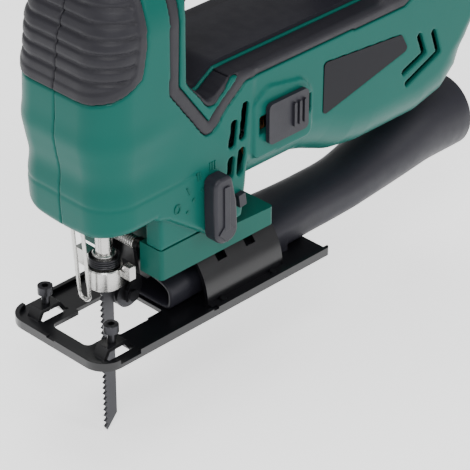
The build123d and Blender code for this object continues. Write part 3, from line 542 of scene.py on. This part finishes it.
MATS = {
    "shell": material(
        "green_shell", (0.0002, 0.084, 0.067), 0.36,
        grain=1500, bump=0.08, spread=0.05, coat=0.04, rough_spread=0.05, shine=0.12,
    ),
    "foot_cast": material(
        "green_paint", (0.0002, 0.074, 0.057), 0.36,
        grain=900, bump=0.08, spread=0.06, coat=0.04, rough_spread=0.05, shine=0.12,
    ),
    "soft_grip": material("soft_rubber", (0.0120, 0.0115, 0.0160), 0.50, grain=2200, bump=0.22, spread=0.10),
    "dark_plastic": material(
        "dark_plastic", (0.0140, 0.0138, 0.0200), 0.47, grain=1800, bump=0.16, spread=0.10,
    ),
    "label": material(
        "label_plate", (0.0060, 0.0060, 0.0090), 0.42,
        grain=2600, bump=0.03, spread=0.02, rough_spread=0.02, shine=0.12,
    ),
    "black_sheet": material(
        "black_sheet", (0.0038, 0.0038, 0.0050), 0.30,
        grain=900, bump=0.05, spread=0.06, coat=0.35, rough_spread=0.05,
    ),
    "cast_metal": material("cast_metal", (0.56, 0.57, 0.58), 0.48, metal=1.0, grain=900, bump=0.2),
    "bright_steel": material(
        "bright_steel", (0.55, 0.545, 0.53), 0.26,
        metal=1.0, grain=500, bump=0.05, stretch=(1, 1, 7), rough_spread=0.05,
    ),
    "steel_screw": material("dark_screw", (0.045, 0.045, 0.05), 0.32, metal=0.9, grain=500, bump=0.08),
    "blade_steel": material(
        "blade_steel", (0.055, 0.055, 0.06), 0.34,
        metal=0.85, grain=500, bump=0.10, stretch=(1, 1, 5),
    ),
    "bronze": material("bronze", (0.60, 0.40, 0.18), 0.35, metal=1.0, grain=700, bump=0.1),
    "copper": material("copper", (0.62, 0.26, 0.12), 0.32, metal=1.0, grain=300, bump=0.2, stretch=(1, 8, 1)),
    "lamination": material(
        "lamination", (0.28, 0.28, 0.30), 0.45, metal=1.0, grain=300, bump=0.3, stretch=(1, 20, 1),
    ),
    "carbon": material("carbon", (0.03, 0.03, 0.03), 0.6, grain=900, bump=0.2),
}

slot_of = {s["node"]: s["material_slot"] for s in frame["record"]["subparts"]}
special = {
    "roller_fork": "black_sheet", "clamp_spring": "steel_screw", "guide_roller": "steel_screw",
    "roller_pin": "steel_screw",
}
for name, obj in frame["nodes"].items():
    mat = MATS[special.get(name, slot_of[name])]
    obj.data.materials.clear()
    obj.data.materials.append(mat)
    if obj.hide_render:
        continue
    obj.data.polygons.foreach_set("use_smooth", [True] * len(obj.data.polygons))
    bevel = obj.modifiers.new("edge", "BEVEL")
    bevel.width = 0.0003
    bevel.segments = 2
    bevel.limit_method = "ANGLE"
    bevel.angle_limit = math.radians(38)
    bevel.harden_normals = True
for obj, name in (
    (shell_r, "shell"), (shell_l, "shell"), (grip_r, "soft_grip"), (grip_l, "soft_grip"),
    (band_r, "soft_grip"), (band_l, "soft_grip"), (tube, "dark_plastic"), (marks, "foot_cast"),
    (clips, "dark_plastic"), (stop_block, "dark_plastic"), (lever_ridge, "dark_plastic"),
):
    obj.data.materials.append(MATS[name])

# ---------------------------------------------------------------- floor, light and camera
FLOOR_Z = -0.0605
bpy.ops.mesh.primitive_plane_add(size=8.0, location=(0, 0, FLOOR_Z))
floor = bpy.context.object
floor.name = "floor"
pale = material("floor_pale", (0.93, 0.93, 0.93), 0.8, grain=60, bump=0.0, spread=0.01)
floor_shader = pale.node_tree.nodes["Principled BSDF"]
floor_shader.inputs["Emission Color"].default_value = (1, 1, 1, 1)
floor_shader.inputs["Emission Strength"].default_value = 1.0
floor.data.materials.append(pale)


def area_light(name, place, target, size, power):
    data = bpy.data.lights.new(name, "AREA")
    data.shape = "RECTANGLE"
    data.size = size[0]
    data.size_y = size[1]
    data.energy = power
    lamp = bpy.data.objects.new(name, data)
    lamp.location = place
    lamp.rotation_euler = (Vector(target) - Vector(place)).to_track_quat("-Z", "Y").to_euler()
    bpy.context.scene.collection.objects.link(lamp)


area_light("key", (0.9, -0.9, 1.3), (0, 0, 0.08), (0.6, 0.6), 17)
area_light("fill", (-0.6, -1.2, 0.7), (0, -0.02, 0.08), (0.6, 0.6), 4)
area_light("side", (1.5, 0.5, 0.8), (0, 0.05, 0.08), (0.6, 0.9), 10)
area_light("top", (0.0, 0.1, 1.6), (0, 0, 0), (1.2, 1.2), 14)

world = bpy.data.worlds.new("studio")
world.use_nodes = True
sky = world.node_tree.nodes["Background"]
sky.inputs["Color"].default_value = (1.0, 1.0, 1.0, 1)
sky.inputs["Strength"].default_value = 0.45
bpy.context.scene.world = world

cam_data = bpy.data.cameras.new("camera")
cam_data.lens = 191.6
cam_data.sensor_width = 36.0
cam = bpy.data.objects.new("camera", cam_data)
bpy.context.scene.collection.objects.link(cam)
cam.location = (0.70017, -0.65857, 0.61780)
cam.rotation_euler = (math.radians(58.4246), 0, math.radians(45.0101))
bpy.context.scene.camera = cam
